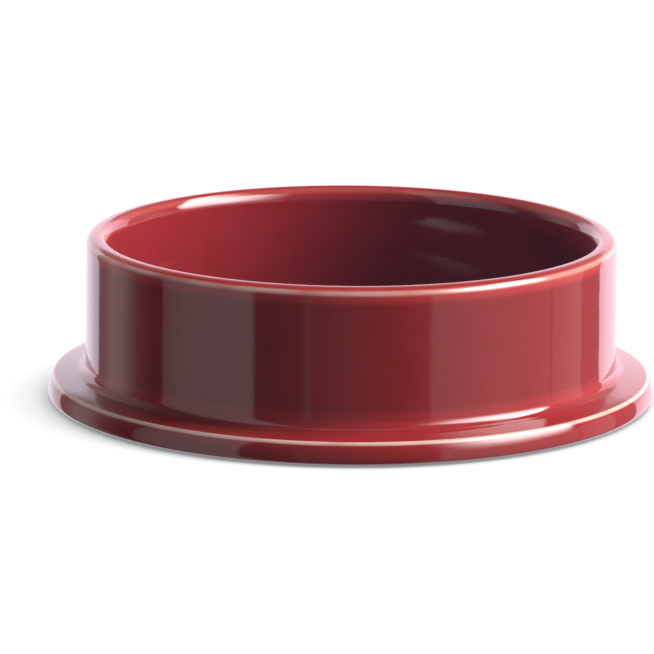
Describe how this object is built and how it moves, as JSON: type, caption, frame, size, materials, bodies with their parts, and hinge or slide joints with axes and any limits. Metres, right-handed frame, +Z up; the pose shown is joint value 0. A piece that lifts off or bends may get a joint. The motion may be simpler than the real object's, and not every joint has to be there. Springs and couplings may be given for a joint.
{
  "type": "pet bowl",
  "caption": "Round straight-walled pet bowl of glazed ceramic, with a rounded rim, a wide foot flange and a silicone non-slip ring under the foot.",
  "frame": {"origin": "centre of the circle on which the non-slip ring rests, on the surface that the bowl stands on", "axes": "+Z up along the bowl's axis of turning, from the surface to the open mouth; the bowl is round, so +X and +Y are any two level directions"},
  "size_m": [0.165, 0.165, 0.0446],
  "materials": {
    "red_glaze": "gloss burgundy glaze over pale clay; bare clay on the foot band",
    "grey_silicone": "matte, soft"
  },
  "bodies": {
    "root": {"ceramic_body": "red_glaze", "non_slip_ring": "grey_silicone"}
  },
  "joints": []
}
